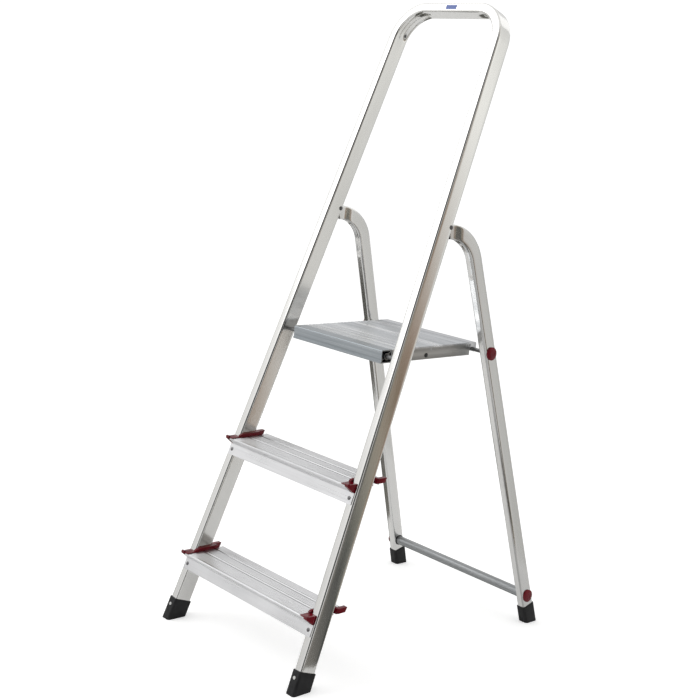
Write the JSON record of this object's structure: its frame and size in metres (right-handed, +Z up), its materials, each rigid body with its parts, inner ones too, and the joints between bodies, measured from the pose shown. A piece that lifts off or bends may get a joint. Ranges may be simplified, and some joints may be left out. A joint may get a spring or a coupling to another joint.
{
  "type": "folding step ladder",
  "caption": "Folding aluminium step ladder with ribbed treads, a standing platform, a high hoop handrail and hooked rear legs on pivots.",
  "frame": {"origin": "on the floor under the centre of the open ladder's outline", "axes": "+Z up, +Y the way the climber faces, from the front frame towards the rear legs, +X to the climber's right"},
  "size_m": [0.443, 0.6827, 1.2956],
  "materials": {
    "stile_aluminium": "bright drawn tube, fine grain along its length",
    "leg_aluminium": "bright drawn tube, fine grain along its length",
    "step_aluminium": "ribbed extrusion, satin",
    "platform_aluminium": "extrusion, satin, blue-grey",
    "deck_aluminium": "ribbed deck, satin",
    "side_aluminium": "mill finish, dull",
    "crossbar_aluminium": "round tube, satin",
    "rod_steel": "dark bright-drawn rod",
    "dark_steel": "darkened rivet heads",
    "light_pin": "pale plug",
    "washer_plastic": "nylon washer",
    "red_plastic": "crimson moulded plastic, semi-gloss",
    "black_rubber": "black moulded foot",
    "black_plastic": "black plastic",
    "label_blue": "plain printed film"
  },
  "bodies": {
    "front_frame": {"front_hoop": "stile_aluminium", "handrail_label": "label_blue", "lower_step": "step_aluminium", "upper_step": "step_aluminium", "lower_step_cap_left": "red_plastic", "lower_step_cap_right": "red_plastic", "upper_step_cap_left": "red_plastic", "upper_step_cap_right": "red_plastic", "lower_step_rivets": "dark_steel", "upper_step_rivets": "dark_steel", "front_foot_left": "black_rubber", "front_foot_right": "black_rubber", "front_foot_pins": "light_pin", "leg_pivot_rivets": "dark_steel", "leg_pivot_washers": "washer_plastic", "platform_axle": "rod_steel", "axle_clips": "rod_steel"},
    "rear_legs": {"rear_leg_left": "leg_aluminium", "rear_leg_right": "leg_aluminium", "rear_foot_left": "black_rubber", "rear_foot_right": "black_rubber", "rear_crossbar": "crossbar_aluminium", "crossbar_collars": "black_plastic", "crossbar_cap_left": "red_plastic", "crossbar_cap_right": "red_plastic", "platform_support_rod": "rod_steel", "rod_cap_left": "red_plastic", "rod_cap_right": "red_plastic"},
    "platform": {"platform_nose": "platform_aluminium", "platform_deck": "deck_aluminium", "platform_side_left": "side_aluminium", "platform_side_right": "side_aluminium", "platform_rear_hook": "platform_aluminium", "platform_brace": "side_aluminium", "platform_side_rivets": "black_plastic", "platform_nose_bushes": "black_plastic"}
  },
  "joints": [
    {"name": "leg_fold", "type": "hinge", "parent": "front_frame", "child": "rear_legs", "pos_m": [0, 0.0088, 0.861], "axis": [1, 0, 0], "range_deg": [-35, 0]},
    {"name": "platform_fold", "type": "hinge", "parent": "front_frame", "child": "platform", "pos_m": [0, -0.0982, 0.6075], "axis": [1, 0, 0], "range_deg": [0, 70]}
  ],
  "couplings": [
    {"joint": "platform_fold", "follows": "leg_fold", "ratio": -2}
  ]
}
